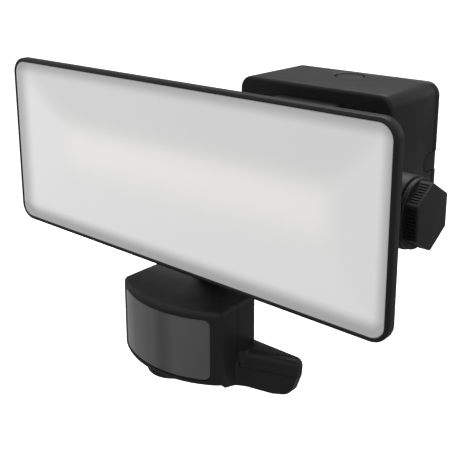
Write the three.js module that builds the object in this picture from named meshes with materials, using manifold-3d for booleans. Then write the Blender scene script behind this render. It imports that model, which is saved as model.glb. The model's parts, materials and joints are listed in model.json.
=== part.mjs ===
// A wall-mounted floodlight with a smoked camera and motion-sensor head, in millimetres, +Z up.
// The origin is the middle of the wall face. The lamp looks along -Y and the wall is at Y = 0.
import * as THREE from "three";
import { mergeVertices } from "three/addons/utils/BufferGeometryUtils.js";
import Module from "manifold-3d";

// Driving dimensions. Inside the fixture group Y counts back from the lamp's face
// and Z counts up from the lamp's tilt axis.
const WALL_Y = 196;
const AXIS_RISE = 6.5;
const GAP = 0.3;

const LAMP = { width: 276, height: 107, rim: 6.3, corner: 10, trayBack: 12.5 };
const LENS = { width: 271, height: 102, corner: 7.5, thick: 3 };
const TILT = { y: 37, barrelR: 18.3, barrelEnd: 128, tubeWall: 2 };
const KNOB = { flangeEnd: 131, end: 138.2, hexR: 17, flangeR: 17.5 };
const BOX = { halfWidth: 60.2, front: 132.4, top: 33, bottom: -46, corner: 9, wall: 2.6, plate: 5 };
const ARM = { halfWidth: 26, sleeveR: 24, top: 24 };
const KNOCKOUT = { y: 179.5, radius: 10 };
const BREAKOUT = { z: -20.2, half: 6, depth: 17 };
const POST = { y: 40, radius: 8, bottom: -50, shaftR: 4 };
const KNUCKLE = { z: -64, radius: 8.5, tongue: 7, cheek: 12, pinR: 3 };
const HEAD = { halfWidth: 38.5, back: 29.2, seam: 12.6, top: -67.6, bottom: -111.9, frontR: 63, apex: -13.8 };
const SHELL = 2.2;
const WINDOW = { halfWidth: 33, top: -72.2, bottom: -108, corner: 3.5, thick: 2 };
const WING = { tip: 71.6, top: -95.3, parting: -105, belly: -119.6, round: 2.6, left: -30 };
const WING_SLANT = { angle: 0.3, bellyRise: 0.075 };
const DIAL = { x: -1.5, y: 3, radius: 15.5, drop: 2.8, buttonR: 4 };

const wasm = await Module();
wasm.setup();

// ---- materials

function finish(color, roughness, metalness = 0) {
  return () => new THREE.MeshStandardMaterial({ color, roughness, metalness });
}
const black = finish(0x17181a, 0.5);
const rubber = finish(0x0e0e0f, 0.85);
const steel = finish(0x9a9c9f, 0.35, 1);
const white = finish(0xe4e4e2, 0.4);
const opal = finish(0xdcdcd9, 0.55);
const smoked = finish(0x3a3b3e, 0.22);
const board = finish(0x1c4a34, 0.6);
const lensGlass = finish(0x141b28, 0.08);

// ---- solids

function solidOf(geometry) {
  const bare = geometry.index ? geometry.toNonIndexed() : geometry.clone();
  bare.deleteAttribute("normal");
  bare.deleteAttribute("uv");
  const merged = mergeVertices(bare, 1e-4);
  return new wasm.Manifold(
    new wasm.Mesh({
      numProp: 3,
      vertProperties: merged.attributes.position.array,
      triVerts: new Uint32Array(merged.index.array),
    }),
  );
}

function geometryOf(solid) {
  const made = solid.getMesh();
  const geometry = new THREE.BufferGeometry();
  geometry.setAttribute("position", new THREE.BufferAttribute(made.vertProperties, made.numProp));
  geometry.setIndex(new THREE.BufferAttribute(made.triVerts, 1));
  const flat = geometry.toNonIndexed();
  flat.computeVertexNormals();
  return flat;
}

function subtract(base, ...tools) {
  return tools.reduce((left, tool) => left.subtract(solidOf(tool)), base);
}

function unite(base, ...others) {
  return others.reduce((sum, other) => sum.add(solidOf(other)), base);
}

// ---- outlines and prisms

function roundedRect(width, height, radius, cx = 0, cy = 0) {
  const [x, y, r] = [width / 2, height / 2, radius];
  const shape = new THREE.Shape();
  shape.absarc(cx + x - r, cy - y + r, r, -Math.PI / 2, 0);
  shape.absarc(cx + x - r, cy + y - r, r, 0, Math.PI / 2);
  shape.absarc(cx - x + r, cy + y - r, r, Math.PI / 2, Math.PI);
  shape.absarc(cx - x + r, cy - y + r, r, Math.PI, 1.5 * Math.PI);
  return shape;
}

function extrude(shape, depth, bevel = 0, curveSegments = 5) {
  return new THREE.ExtrudeGeometry(shape, {
    depth: depth - 2 * bevel,
    bevelEnabled: bevel > 0,
    bevelSize: bevel,
    bevelOffset: -bevel,
    bevelThickness: bevel,
    bevelSegments: 2,
    curveSegments,
  }).translate(0, 0, bevel);
}

// The shape's x and y become X and Z, and it runs back from y0 to y1.
function prismY(shape, y0, y1, bevel = 0, curveSegments = 5) {
  return extrude(shape, y1 - y0, bevel, curveSegments).rotateX(Math.PI / 2).translate(0, y1, 0);
}

// The shape's x and y become Y and Z, and it runs right from x0 to x1.
function prismX(shape, x0, x1, bevel = 0, curveSegments = 5) {
  const turn = new THREE.Matrix4().makeBasis(
    new THREE.Vector3(0, 1, 0),
    new THREE.Vector3(0, 0, 1),
    new THREE.Vector3(1, 0, 0),
  );
  return extrude(shape, x1 - x0, bevel, curveSegments).applyMatrix4(turn).translate(x0, 0, 0);
}

function prismZ(shape, z0, z1, bevel = 0, curveSegments = 5) {
  return extrude(shape, z1 - z0, bevel, curveSegments).translate(0, 0, z0);
}

function block(x0, x1, y0, y1, z0, z1) {
  return new THREE.BoxGeometry(x1 - x0, y1 - y0, z1 - z0).translate(
    (x0 + x1) / 2,
    (y0 + y1) / 2,
    (z0 + z1) / 2,
  );
}

function rodX(radius, x0, x1, y, z, sides = 40) {
  return new THREE.CylinderGeometry(radius, radius, x1 - x0, sides)
    .rotateZ(-Math.PI / 2)
    .translate((x0 + x1) / 2, y, z);
}

function rodY(radius, y0, y1, x, z, sides = 24) {
  return new THREE.CylinderGeometry(radius, radius, y1 - y0, sides).translate(x, (y0 + y1) / 2, z);
}

function rodZ(radius, z0, z1, x, y, sides = 32) {
  return new THREE.CylinderGeometry(radius, radius, z1 - z0, sides)
    .rotateX(Math.PI / 2)
    .translate(x, y, (z0 + z1) / 2);
}

// A four-sided funnel between two rectangles that face -Y.
function frustum(width0, height0, y0, width1, height1, y1) {
  const corners = [[-1, -1], [1, -1], [1, 1], [-1, 1]];
  const ring = (w, h, y) => corners.map(([sx, sz]) => [(sx * w) / 2, y, (sz * h) / 2]);
  const points = [...ring(width0, height0, y0), ...ring(width1, height1, y1)];
  const faces = [0, 1, 2, 0, 2, 3, 4, 6, 5, 4, 7, 6];
  for (let i = 0; i < 4; i++) {
    const j = (i + 1) % 4;
    faces.push(i, 4 + i, 4 + j, i, 4 + j, j);
  }
  const geometry = new THREE.BufferGeometry();
  geometry.setAttribute("position", new THREE.Float32BufferAttribute(points.flat(), 3));
  geometry.setIndex(faces);
  return geometry;
}

// ---- scene graph

const floodlight = new THREE.Group();
const fixture = new THREE.Group();
fixture.position.set(0, -WALL_Y, AXIS_RISE);
floodlight.add(fixture);

function place(name, shape, material) {
  const geometry = shape instanceof THREE.BufferGeometry ? shape : geometryOf(shape);
  const mesh = new THREE.Mesh(geometry, material());
  mesh.name = name;
  fixture.add(mesh);
}

// ---- lamp: bezel, opal lens, reflector, lamp board and back tray

function makeLamp() {
  const ledge = LENS.thick + 1.6;
  const bezel = subtract(
    solidOf(prismY(roundedRect(LAMP.width, LAMP.height, LAMP.corner), 0, LAMP.rim, 0.8)),
    prismY(roundedRect(LENS.width + 2 * GAP, LENS.height + 2 * GAP, LENS.corner + GAP), -1, ledge),
    prismY(roundedRect(LENS.width - 8, LENS.height - 8, LENS.corner - 3), 0, LAMP.rim + 1),
  );
  place("lamp_bezel", bezel, black);
  place("lamp_lens", prismY(roundedRect(LENS.width, LENS.height, LENS.corner), 0.3, LENS.thick + 0.3), opal);
  const seal = subtract(
    solidOf(prismY(roundedRect(LENS.width - 1, LENS.height - 1, LENS.corner), LENS.thick + 0.6, ledge - GAP)),
    prismY(roundedRect(LENS.width - 8, LENS.height - 8, LENS.corner - 3), 0, ledge),
  );
  place("lens_seal", seal, rubber);

  const [mouth, mouthHigh, throat, throatHigh] = [LENS.width - 12, LENS.height - 12, 214, 45];
  const reflector = solidOf(frustum(mouth, mouthHigh, LENS.thick + 0.9, throat, throatHigh, 9.7)).subtract(
    solidOf(frustum(mouth - 2, mouthHigh - 2, LENS.thick + 0.8, throat - 2, throatHigh - 2, 9.8)),
  );
  place("reflector", reflector, white);

  const chips = [];
  for (const z of [-10, 10]) {
    for (let i = 0; i < 12; i++) {
      const x = (i - 5.5) * 16.5;
      chips.push(block(x - 2, x + 2, 9.2, 10.4, z - 2, z + 2));
    }
  }
  place("lamp_board", unite(solidOf(block(-118, 118, 10, 11.1, -32, 32)), ...chips), white);

  const tray = subtract(
    solidOf(prismY(roundedRect(266, 92, 7), LAMP.rim + GAP, LAMP.trayBack, 1)),
    prismY(roundedRect(262, 88, 5), LAMP.rim - 1, LAMP.trayBack - 1),
  );
  const fins = [];
  for (const side of [-1, 1]) {
    for (let i = 0; i < 4; i++) {
      const x = side * (56 + i * 11);
      fins.push(block(x - 0.9, x + 0.9, LAMP.trayBack - 0.5, LAMP.trayBack + 3.5, -36, 36));
    }
  }
  place("lamp_tray", unite(tray, ...fins), black);
  place("tray_vent", rodY(5, LAMP.trayBack + GAP, LAMP.trayBack + 3, -118, -18), rubber);
  let screw = 0;
  for (const x of [-120, 120]) {
    for (const z of [-40, 40]) {
      const y = LAMP.trayBack + GAP;
      screw += 1;
      const head = subtract(solidOf(rodY(2.6, y, y + 1.6, x, z)), block(x - 2, x + 2, y + 1, y + 2, z - 0.4, z + 0.4));
      place("tray_screw_" + screw, head, steel);
    }
  }
}

// ---- tilt barrel behind the lamp, its cradles, its left cap and the stud for the knob

function makeBarrel() {
  const inner = TILT.barrelR - TILT.tubeWall;
  const tube = subtract(
    solidOf(rodX(TILT.barrelR, -TILT.barrelEnd, TILT.barrelEnd, TILT.y, 0, 40)),
    rodX(inner, -TILT.barrelEnd - 1, TILT.barrelEnd + 1, TILT.y, 0, 40),
  );
  place("tilt_barrel", tube, black);

  const profile = new THREE.Shape([
    new THREE.Vector2(LAMP.trayBack + GAP, -30),
    new THREE.Vector2(TILT.y, -TILT.barrelR - 3),
    new THREE.Vector2(TILT.y, TILT.barrelR + 3),
    new THREE.Vector2(LAMP.trayBack + GAP, 30),
  ]);
  [-106, -36, 36, 106].forEach((x, i) => {
    const cradle = subtract(
      solidOf(prismX(profile, x - 3, x + 3)),
      rodX(TILT.barrelR + GAP, x - 4, x + 4, TILT.y, 0, 40),
    );
    place("barrel_cradle_" + (i + 1), cradle, black);
  });

  const capProfile = [
    [0, 0],
    [inner - 0.4, 0],
    [inner - 0.4, 5],
    [TILT.barrelR, 5],
    [TILT.barrelR, 7],
    [TILT.barrelR - 1.2, 8.2],
    [0, 9],
  ].map(([r, h]) => new THREE.Vector2(r, h));
  const cap = new THREE.LatheGeometry(capProfile, 40)
    .rotateZ(Math.PI / 2)
    .translate(5 - TILT.barrelEnd - GAP, TILT.y, 0);
  place("barrel_cap", cap, black);
  place("knob_stud", rodX(4, 96, KNOB.flangeEnd + 2, TILT.y, 0, 24), steel);
  const web = subtract(solidOf(rodX(inner - 0.4, 118, 122, TILT.y, 0, 40)), rodX(4 + GAP, 117, 123, TILT.y, 0, 24));
  place("stud_web", web, black);
}

// ---- hexagonal locking knob, with ribs on its six sides

function makeKnob() {
  const side = new THREE.Shape();
  for (let i = 0; i < 6; i++) {
    const a = (i * Math.PI) / 3 + Math.PI / 2;
    side[i ? "lineTo" : "moveTo"](TILT.y + KNOB.hexR * Math.cos(a), KNOB.hexR * Math.sin(a));
  }
  let knob = unite(
    solidOf(rodX(KNOB.flangeR, TILT.barrelEnd + GAP, KNOB.flangeEnd, TILT.y, 0, 40)),
    prismX(side, KNOB.flangeEnd - 1, KNOB.end, 0.6),
  );
  const apothem = KNOB.hexR * Math.cos(Math.PI / 6);
  for (let i = 0; i < 6; i++) {
    for (let k = 0; k < 5; k++) {
      const groove = block(KNOB.flangeEnd + 1, KNOB.end - 1.2, -0.45, 0.45, apothem - 0.5, apothem + 1)
        .translate(0, (k - 2) * 2.4, 0)
        .rotateX((i * Math.PI) / 3 + Math.PI / 6)
        .translate(0, TILT.y, 0);
      knob = subtract(knob, groove);
    }
  }
  knob = subtract(knob, rodX(4 + GAP, TILT.barrelEnd, KNOB.flangeEnd + 2 + GAP, TILT.y, 0, 24));
  place("lock_knob", knob, black);
}

// ---- wall box: shell, wall plate, break-outs, wiring parts

function boxOutline(inset = 0) {
  const height = BOX.top - BOX.bottom;
  const middle = (BOX.top + BOX.bottom) / 2;
  return roundedRect(
    2 * (BOX.halfWidth - inset),
    height - 2 * inset,
    BOX.corner - inset,
    0,
    middle,
  );
}

// The U-shaped break-out seen from the side: a slot from the wall with a half-round end.
function breakoutOutline(grow) {
  const r = BREAKOUT.half + grow;
  const y = WALL_Y - BREAKOUT.depth + BREAKOUT.half;
  const shape = new THREE.Shape();
  shape.moveTo(WALL_Y - GAP + 4 * grow, BREAKOUT.z + r);
  shape.absarc(y, BREAKOUT.z, r, Math.PI / 2, 1.5 * Math.PI);
  shape.lineTo(WALL_Y - GAP + 4 * grow, BREAKOUT.z - r);
  return shape;
}

function makeBox() {
  const plateFront = WALL_Y - BOX.plate;
  const sideSlots = () => [
    prismX(breakoutOutline(GAP), -BOX.halfWidth - 1, -BOX.halfWidth + BOX.wall + 1),
    prismX(breakoutOutline(GAP), BOX.halfWidth - BOX.wall - 1, BOX.halfWidth + 1),
  ];
  const shell = subtract(
    solidOf(prismY(boxOutline(), BOX.front, plateFront + 2, 2)),
    prismY(boxOutline(BOX.wall), BOX.front + BOX.wall, plateFront + 3),
    block(-90, 90, plateFront - GAP / 2, plateFront + 3, -60, 60),
    rodZ(KNOCKOUT.radius, BOX.top - BOX.wall - 1, BOX.top + 1, 0, KNOCKOUT.y, 40),
    ...sideSlots(),
  );
  place("box_shell", shell, black);

  const plateTools = [
    ...sideSlots(),
    rodY(11 + GAP, plateFront - 1, WALL_Y + 1, 0, 8, 32),
  ];
  for (const x of [-42, 42]) {
    const slot = roundedRect(12, 4.6, 2.29, x, BOX.bottom / 2 + BOX.top / 2);
    plateTools.push(prismY(slot, plateFront - 1, WALL_Y + 1));
  }
  const plate = subtract(solidOf(prismY(boxOutline(), plateFront + GAP / 2, WALL_Y)), ...plateTools);
  place("wall_plate", plate, black);

  place("top_knockout", rodZ(KNOCKOUT.radius - GAP, BOX.top - BOX.wall, BOX.top - 0.4, 0, KNOCKOUT.y, 40), black);
  for (const [name, side] of [["left_breakout", -1], ["right_breakout", 1]]) {
    const [a, b] = [side * (BOX.halfWidth - BOX.wall), side * (BOX.halfWidth - 0.3)];
    place(name, prismX(breakoutOutline(0), Math.min(a, b), Math.max(a, b)), black);
  }

  const grommetProfile = [
    [0, 0],
    [11, 0],
    [11, 5.4],
    [14, 5.4],
    [14, 7.4],
    [6, 9],
    [0, 9],
  ].map(([r, h]) => new THREE.Vector2(r, h));
  const grommet = new THREE.LatheGeometry(grommetProfile, 32)
    .rotateX(Math.PI)
    .translate(0, WALL_Y - 0.2, 8);
  place("cable_grommet", grommet, rubber);
  place("led_driver", prismY(roundedRect(74, 44, 3, -10, -8), 137, 160), rubber);
  const ways = [-6, 0, 6].map((x) => rodZ(1.6, -36, -24, 36 + x, 176, 12));
  place("terminal_block", subtract(solidOf(block(26, 46, 170, 182, -40, -28)), ...ways), white);
  for (const [name, x] of [["box_screw_left", -40], ["box_screw_right", 40]]) {
    const z = BOX.bottom - GAP;
    const head = subtract(
      solidOf(rodZ(3.6, z - 1.8, z, x, 181)),
      block(x - 3, x + 3, 180.5, 181.5, z - 3, z - 1),
      block(x - 0.5, x + 0.5, 178, 184, z - 3, z - 1),
    );
    place(name, head, steel);
  }
}

// ---- fixed arm with the sleeve that the barrel turns in, and the post for the sensor head

function makeArm() {
  const outline = new THREE.Shape();
  outline.moveTo(BOX.front - GAP, -ARM.sleeveR);
  outline.lineTo(BOX.front - GAP, ARM.top);
  outline.lineTo(TILT.y, ARM.sleeveR);
  outline.absarc(TILT.y, 0, ARM.sleeveR, Math.PI / 2, 1.5 * Math.PI);
  const arm = subtract(
    solidOf(prismX(outline, -ARM.halfWidth, ARM.halfWidth, 3, 14)),
    rodX(TILT.barrelR + GAP, -40, 40, TILT.y, 0, 40),
    block(5 - ARM.halfWidth, ARM.halfWidth - 5, TILT.y + ARM.sleeveR + 12, BOX.front, 5 - ARM.sleeveR, ARM.top - 5),
  );
  place("support_arm", arm, black);
  for (const [name, x] of [["sleeve_ring_left", -1], ["sleeve_ring_right", 1]]) {
    const inside = x * (ARM.halfWidth + GAP);
    const outside = x * (ARM.halfWidth + 2.4);
    const ring = subtract(
      solidOf(rodX(21.5, Math.min(inside, outside), Math.max(inside, outside), TILT.y, 0, 40)),
      rodX(TILT.barrelR + GAP, -40, 40, TILT.y, 0, 40),
    );
    place(name, ring, rubber);
  }
  const post = subtract(
    solidOf(rodZ(POST.radius, POST.bottom, -12, 0, POST.y)),
    rodX(ARM.sleeveR + GAP, -20, 20, TILT.y, 0, 80),
    block(-20, 20, TILT.y, 70, -ARM.sleeveR - GAP, 0),
    rodZ(POST.shaftR + GAP, POST.bottom - 1, -31, 0, POST.y),
  );
  place("sensor_post", post, black);
}

// ---- swivel fork under the post, with the knuckle's bolt and nut

function makeFork() {
  const discBottom = POST.bottom - GAP - 4;
  const cheek = new THREE.Shape();
  cheek.moveTo(POST.y - KNUCKLE.radius, discBottom + 1);
  cheek.absarc(POST.y, KNUCKLE.z, KNUCKLE.radius, Math.PI, 2 * Math.PI);
  cheek.lineTo(POST.y + KNUCKLE.radius, discBottom + 1);
  const fork = subtract(
    unite(
      solidOf(rodZ(12.2, discBottom, POST.bottom - GAP, 0, POST.y, 40)),
      prismX(cheek, KNUCKLE.tongue + 0.4, KNUCKLE.cheek, 0, 16),
      prismX(cheek, -KNUCKLE.cheek, -KNUCKLE.tongue - 0.4, 0, 16),
    ),
    rodX(KNUCKLE.pinR + GAP, -20, 20, POST.y, KNUCKLE.z, 24),
    rodZ(POST.shaftR + GAP, discBottom - 0.1, POST.bottom, 0, POST.y),
  );
  place("swivel_fork", fork, black);
  place("swivel_shaft", rodZ(POST.shaftR, discBottom + 0.4, -32, 0, POST.y), steel);

  const side = KNUCKLE.cheek + GAP;
  const bolt = unite(
    solidOf(rodX(KNUCKLE.pinR, -side - 1, side + 3.2, POST.y, KNUCKLE.z, 24)),
    rodX(5.4, -side - 2.6, -side, POST.y, KNUCKLE.z, 32),
  );
  place("knuckle_bolt", bolt, steel);
  const nut = subtract(
    solidOf(rodX(5.4, side, side + 3, POST.y, KNUCKLE.z, 6)),
    rodX(KNUCKLE.pinR + GAP, 0, side + 4, POST.y, KNUCKLE.z, 24),
  );
  place("knuckle_nut", nut, steel);
}

// ---- sensor and camera head

const arcCentre = HEAD.apex + HEAD.frontR;

function headOutline(inset = 0) {
  const x = HEAD.halfWidth - inset;
  const r = HEAD.frontR - inset;
  const edge = Math.asin(x / r);
  const corner = inset ? 0.8 : 2.2;
  const shape = new THREE.Shape();
  shape.absarc(0, arcCentre, r, -Math.PI / 2 - edge, -Math.PI / 2 + edge);
  shape.absarc(x - corner, HEAD.back - inset - corner, corner, 0, Math.PI / 2);
  shape.absarc(-x + corner, HEAD.back - inset - corner, corner, Math.PI / 2, Math.PI);
  return shape;
}

// Seen from above: the lower body under the head, which grows into a wing on the right
// whose front slants back to a thin round tip, flush with the head's back.
function wingOutline(inset = 0) {
  const { angle } = WING_SLANT;
  const round = inset ? 0.4 : WING.round;
  const [side, back, front] = [HEAD.halfWidth - 0.05 - inset, HEAD.back - inset, HEAD.seam + 1.2 + inset];
  const tip = inset ? WING.tip - 12 : WING.tip;
  const shape = new THREE.Shape();
  shape.moveTo(side, 0.5 + inset);
  shape.lineTo(side, front - 2);
  shape.quadraticCurveTo(side, front, side + 3, front + 3 * Math.tan(angle));
  shape.lineTo(tip - round, front + (tip - round - side) * Math.tan(angle));
  shape.absarc(tip - round, back - round, round, 0, Math.PI / 2);
  shape.lineTo(WING.left + inset, back);
  shape.lineTo(WING.left + inset, front + 6.5);
  shape.lineTo(12, front + 6.5);
  shape.lineTo(24 + inset, 3 + inset);
  return shape;
}

// Seen from the front: the flat top, the end that leans in and the rising underside.
function wingProfile(inset = 0) {
  const [left, tip] = [WING.left + inset, WING.tip - (inset ? 12 : 0)];
  const bellyAt = (x) => WING.belly + inset + WING_SLANT.bellyRise * (x - HEAD.halfWidth);
  const shape = new THREE.Shape();
  shape.moveTo(left, WING.top - inset);
  shape.lineTo(tip - 6, WING.top - inset);
  shape.quadraticCurveTo(tip - 0.5, WING.top - inset, tip, WING.top - 4);
  shape.lineTo(tip - 0.8, WING.parting);
  shape.lineTo(tip - 3.8, WING.parting - 9);
  shape.quadraticCurveTo(tip - 5, bellyAt(tip - 6), tip - 9, bellyAt(tip - 9));
  shape.lineTo(0, bellyAt(0));
  shape.lineTo(left, bellyAt(0));
  return shape;
}

// Seen from the side: the underside ramps down towards the wall and is chamfered at the back.
function wingSide(inset = 0) {
  const back = HEAD.back + 1;
  return new THREE.Shape(
    [
      [-1.5 + inset, WING.top + 5],
      [back, WING.top + 5],
      [back, -117 + inset],
      [26, -125 + inset],
      [19, -125 + inset],
      [16, -120.6 + inset],
      [-1.5 + inset, 0.4 + HEAD.bottom + inset],
    ].map(([y, z]) => new THREE.Vector2(y, z)),
  );
}

function wingSolid(inset = 0) {
  return solidOf(prismZ(wingOutline(inset), -135, WING.top - inset))
    .intersect(solidOf(prismY(wingProfile(inset), -10, 60)))
    .intersect(solidOf(prismX(wingSide(inset), -60, 100)));
}

function headSolid(inset = 0) {
  const bevel = inset ? 0 : 1.6;
  return solidOf(prismZ(headOutline(inset), HEAD.bottom + inset, HEAD.top - inset, bevel, 12));
}

function windowPrism(grow) {
  const outline = roundedRect(
    2 * (WINDOW.halfWidth + grow),
    WINDOW.top - WINDOW.bottom + 2 * grow,
    WINDOW.corner + grow,
    0,
    (WINDOW.top + WINDOW.bottom) / 2,
  );
  return solidOf(prismY(outline, HEAD.apex - 5, 8));
}

function frontCylinder(radius) {
  return solidOf(rodZ(radius, HEAD.bottom - 5, HEAD.top + 5, 0, arcCentre, 120));
}

// The shell parts along an L seen from the side: up the sides at the seam, back along the wing.
function makeHead() {
  const far = 150;
  const skin = headSolid().add(wingSolid()).subtract(headSolid(SHELL).add(wingSolid(SHELL)));
  const rearCorner = (gap) => block(-far, far, HEAD.seam + gap, far, WING.parting + gap, far);
  const front = subtract(
    skin.subtract(windowPrism(GAP).subtract(frontCylinder(55))),
    rearCorner(-GAP / 2),
    rodZ(DIAL.buttonR + GAP, HEAD.bottom - 1, HEAD.bottom + SHELL + 1, DIAL.x, DIAL.y, 24),
  );
  place("head_front", front, black);
  const pane = windowPrism(0)
    .intersect(frontCylinder(HEAD.frontR - 0.25))
    .subtract(frontCylinder(HEAD.frontR - 0.25 - WINDOW.thick));
  place("head_window", pane, smoked);

  const tongue = new THREE.Shape();
  tongue.moveTo(HEAD.back - 1, WING.top + 8);
  tongue.lineTo(POST.y + 6.5, KNUCKLE.z - 5.5);
  tongue.absarc(POST.y, KNUCKLE.z, KNUCKLE.radius, -0.7, 2.6);
  tongue.lineTo(HEAD.back - 1, HEAD.top - 3);
  const rear = unite(
    skin.intersect(solidOf(rearCorner(GAP / 2))),
    prismX(tongue, -KNUCKLE.tongue, KNUCKLE.tongue, 0, 10),
  );
  place("head_rear", subtract(rear, rodX(KNUCKLE.pinR + GAP, -20, 20, POST.y, KNUCKLE.z, 24)), black);
  place("control_board", block(-28, 52, 22.4, 24, -107, -99), board);
  for (const [name, x] of [["head_screw_left", -28], ["head_screw_right", 28]]) {
    const y = HEAD.back + GAP;
    const head = subtract(
      solidOf(rodY(2.8, y, y + 1.2, x, -84)),
      block(x - 2.2, x + 2.2, y + 0.7, y + 2, -84.35, -83.65),
    );
    place(name, head, steel);
  }
}

// ---- what the smoked window covers: camera, motion sensor and night lights

function makeCamera() {
  const z = -88;
  place("camera_board", block(-30, 30, 3, 4.6, -106, -76), board);
  const barrel = subtract(
    solidOf(rodY(9, -8.6, 2.7, 0, z, 32)).add(solidOf(rodY(7, -10.2, -8, 0, z, 32))),
    rodY(5.2, -11, -7, 0, z, 32),
  );
  place("camera_barrel", barrel, black);
  place("camera_lens", rodY(4.9, -9.4, -7.3, 0, z, 32), lensGlass);
  const dome = new THREE.LatheGeometry(
    [[0, 0], [6.5, 0], [6.5, 4], [4.6, 6.4], [0, 7.4]].map(([r, h]) => new THREE.Vector2(r, h)),
    24,
  );
  place("motion_sensor", dome.rotateX(Math.PI).translate(22, 2.7, z), opal);
  for (const [name, dz] of [["night_light_upper", 7], ["night_light_lower", -7]]) {
    place(name, rodY(2.5, -3.5, 2.7, -20, z + dz, 20), lensGlass);
  }
}

// ---- settings dial under the head, with the push button through it

function makeDial() {
  const [low, high] = [HEAD.bottom - DIAL.drop, HEAD.bottom - GAP];
  const edge = 1;
  const profile = [
    [DIAL.buttonR + GAP, low],
    [DIAL.radius - edge, low],
    [DIAL.radius, low + edge],
    [DIAL.radius, high],
    [DIAL.buttonR + GAP, high],
    [DIAL.buttonR + GAP, low],
  ].map(([r, h]) => new THREE.Vector2(r, h));
  const ring = solidOf(new THREE.LatheGeometry(profile, 48).rotateX(Math.PI / 2).translate(DIAL.x, DIAL.y, 0));
  const pointer = block(DIAL.x - 0.7, DIAL.x + 0.7, DIAL.y - 11.4, DIAL.y - 6, low - 1, low + 0.5);
  place("settings_dial", subtract(ring, pointer), black);
  place("reset_button", rodZ(DIAL.buttonR, low + 0.4, HEAD.bottom + SHELL - 0.4, DIAL.x, DIAL.y, 24), rubber);
}

makeLamp();
makeBarrel();
makeKnob();
makeBox();
makeArm();
makeFork();
makeHead();
makeCamera();
makeDial();

export default floodlight;
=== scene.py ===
"""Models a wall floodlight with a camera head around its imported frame, and sets a plain studio round it."""

import json
import math

import bmesh
import bpy
from bpy.props import FloatProperty, FloatVectorProperty, IntProperty, PointerProperty
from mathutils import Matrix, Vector


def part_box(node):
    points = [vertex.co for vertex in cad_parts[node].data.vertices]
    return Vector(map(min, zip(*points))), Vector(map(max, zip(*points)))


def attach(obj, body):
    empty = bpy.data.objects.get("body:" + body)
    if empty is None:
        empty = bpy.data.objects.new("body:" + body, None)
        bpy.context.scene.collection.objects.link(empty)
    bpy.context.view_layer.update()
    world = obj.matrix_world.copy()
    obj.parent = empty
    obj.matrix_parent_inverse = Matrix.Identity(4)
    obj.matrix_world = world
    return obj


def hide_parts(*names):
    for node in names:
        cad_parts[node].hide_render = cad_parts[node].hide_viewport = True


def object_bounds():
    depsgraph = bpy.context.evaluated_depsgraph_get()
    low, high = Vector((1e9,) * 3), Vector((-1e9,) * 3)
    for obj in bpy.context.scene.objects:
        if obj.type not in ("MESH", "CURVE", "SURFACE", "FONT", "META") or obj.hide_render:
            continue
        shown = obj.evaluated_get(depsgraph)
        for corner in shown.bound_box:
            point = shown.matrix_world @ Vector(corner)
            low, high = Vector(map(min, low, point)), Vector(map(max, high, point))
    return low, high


bl_info = {
    "name": "Floodlight Camera Maker",
    "version": (1, 0, 0),
    "blender": (4, 5, 0),
    "location": "3D View > Sidebar > Floodlight",
    "description": "Models a wall floodlight and its camera head, one piece at a time",
    "category": "Add Mesh",
}

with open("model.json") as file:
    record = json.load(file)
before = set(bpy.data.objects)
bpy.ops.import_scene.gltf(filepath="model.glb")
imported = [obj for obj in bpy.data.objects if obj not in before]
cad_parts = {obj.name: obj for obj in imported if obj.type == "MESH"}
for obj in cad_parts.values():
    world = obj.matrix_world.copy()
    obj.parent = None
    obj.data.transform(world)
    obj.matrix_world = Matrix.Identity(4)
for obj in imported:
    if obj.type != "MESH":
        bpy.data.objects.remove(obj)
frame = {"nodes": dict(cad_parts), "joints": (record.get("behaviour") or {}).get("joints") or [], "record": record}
frame_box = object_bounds()

X, Y, Z = 0, 1, 2
MM = 0.001
NEAR = 1e-5
PAST = 1 * MM  # how far a cutting tool reaches past the face that it cuts
SIXTH = math.pi / 3
SMOOTH_ANGLE = math.radians(32)


def length(label, words, millimetres):
    return FloatProperty(name=label, description=words, default=millimetres * MM, unit="LENGTH", min=0.0)


def colour(label, words, value):
    return FloatVectorProperty(
        name=label, description=words, default=value, size=3, subtype="COLOR", min=0.0, max=1.0
    )


class FloodlightSizes(bpy.types.PropertyGroup):
    """Sizes that shape the visible pieces."""

    bezel_corner: length("Bezel corner", "Corner radius of the lamp's bezel", 10)
    bezel_round: length("Bezel rounding", "Rounding of the bezel's front rim", 1.9)
    lens_corner: length("Lens corner", "Corner radius of the opal lens", 7.5)
    box_corner: length("Box corner", "Corner radius of the wall box", 9)
    box_round: length("Box rounding", "Rounding of the wall box's front rim", 2.4)
    knob_radius: length("Knob radius", "Corner radius of the hexagonal knob", 17)
    rib_pitch: length("Rib pitch", "Distance between the knob's ribs", 1.75)
    ribs: IntProperty(name="Ribs", description="Grooves on each side of the knob", default=8, min=1, max=12)
    window_gap: length("Window gap", "Dark line round the smoked window", 0.55)
    window_corner: length("Window corner", "Corner radius of the smoked window", 3.5)
    head_radius: length("Head radius", "Radius of the head's curved front", 63)
    head_round: length("Head rounding", "Rounding of the head's outer edges", 2.6)
    head_wall: length("Head wall", "Thickness of the head's shell", 2.2)
    wing_round: length("Wing rounding", "Rounding of the wing's long edges", 1.9)
    wing_end: length("Wing end", "Rounding of the wing's outer corners", 4)
    wing_height: length("Wing height", "Height of the wing's top above the parting line", 9.7)
    seam: length("Seam", "Width of the line between two shells", 0.28)


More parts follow.
